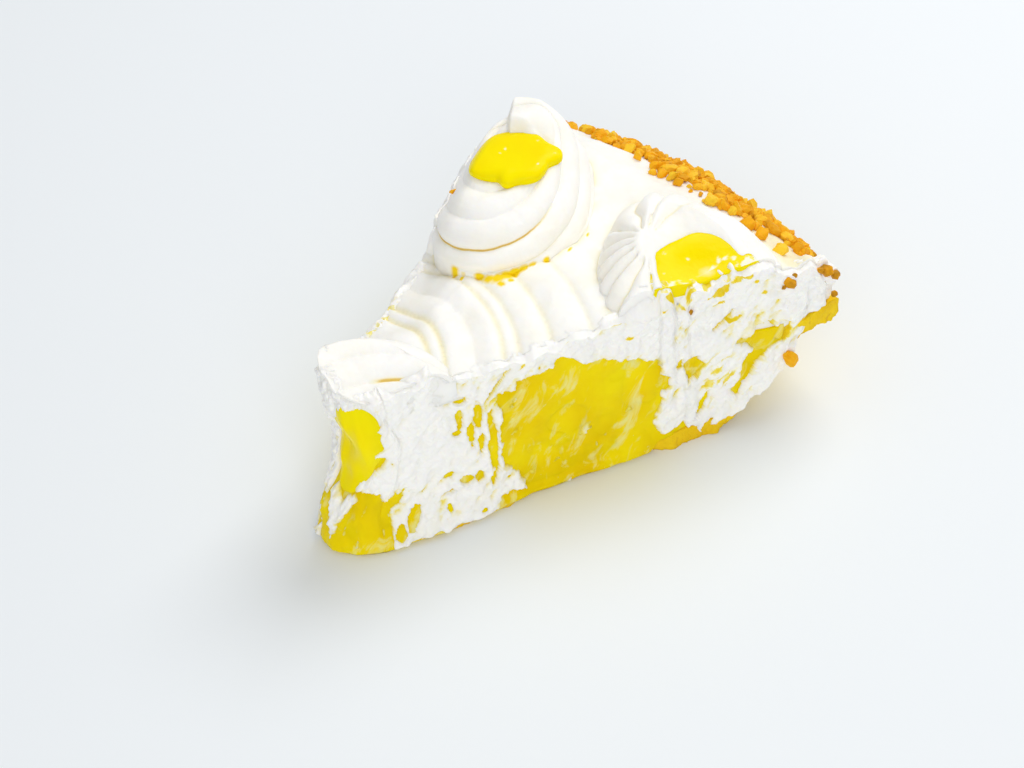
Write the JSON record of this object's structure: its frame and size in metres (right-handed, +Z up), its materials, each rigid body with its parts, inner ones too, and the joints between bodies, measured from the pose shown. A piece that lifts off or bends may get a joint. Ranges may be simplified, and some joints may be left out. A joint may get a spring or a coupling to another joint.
{
  "type": "lemon cream pie slice",
  "caption": "Wedge of lemon cream pie: flared pastry crust, thick lemon filling, combed whipped cream with piped rosettes, lemon dollops and nut crumbs along the rim.",
  "frame": {"origin": "on the flat underside of the crust, on the slice's bisector, 70 mm from the whole pie's axis", "axes": "+X along the bisector from the tip to the rim, +Z up through the layers, +Y across the slice"},
  "size_m": [0.1218, 0.0953, 0.0602],
  "materials": {
    "pastry": "baked shortcrust, dry and slightly grainy",
    "lemon_gel": "wet translucent lemon gel",
    "whipped_cream": "soft white whipped cream, slightly satin; the toasted nut crumbs on its rim are orange-gold and matte",
    "lemon_dollop": "glossy lemon gel"
  },
  "bodies": {
    "root": {"crust": "pastry", "lemon_filling": "lemon_gel", "whipped_cream": "whipped_cream", "rosette_back": "whipped_cream", "rosette_right": "whipped_cream", "rosette_tip": "whipped_cream", "dollop_back": "lemon_dollop", "dollop_right": "lemon_dollop", "dollop_tip": "lemon_dollop"}
  },
  "joints": []
}
